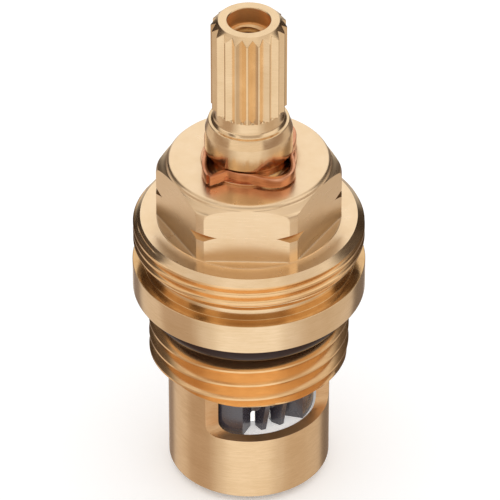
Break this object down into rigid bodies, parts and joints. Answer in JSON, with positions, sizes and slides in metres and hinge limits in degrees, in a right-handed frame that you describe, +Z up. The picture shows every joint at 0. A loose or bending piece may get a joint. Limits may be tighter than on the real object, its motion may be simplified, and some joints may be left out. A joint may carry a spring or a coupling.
{
  "type": "valve cartridge",
  "caption": "Brass quarter-turn valve cartridge: hexagon, outer threads, sealing ring, windowed skirt with ceramic discs, and a splined spindle held by a snap clip.",
  "frame": {"origin": "centre of the seat seal's lower face, on the spindle's axis", "axes": "+Z up along the spindle's axis, towards its splined end; -Y is the picture's front, +X its right"},
  "size_m": [0.0242, 0.0242, 0.0561],
  "materials": {
    "head_brass": "bright turned",
    "spindle_brass": "bright turned",
    "clip_bronze": "rolled strip",
    "washer_bronze": "stamped",
    "ring_brass": "turned",
    "body_rubber": "moulded",
    "spindle_rubber": "moulded",
    "seal_rubber": "moulded",
    "white_ceramic": "lapped",
    "grey_ceramic": "lapped",
    "slide_plastic": "moulded"
  },
  "bodies": {
    "head": {"head_body": "head_brass", "body_o_ring": "body_rubber", "seat_seal": "seal_rubber", "support_ring": "ring_brass", "fixed_disc": "white_ceramic", "slide_washer": "slide_plastic", "clip_washer": "washer_bronze"},
    "spindle_group": {"spindle": "spindle_brass", "moving_disc": "grey_ceramic", "spindle_o_ring_lower": "spindle_rubber", "spindle_o_ring_upper": "spindle_rubber", "snap_clip": "clip_bronze"}
  },
  "joints": [
    {"name": "spindle_turn", "type": "hinge", "parent": "head", "child": "spindle_group", "pos_m": [0, 0, 0.05024], "axis": [0, 0, 1], "range_deg": [-90, 0]}
  ]
}
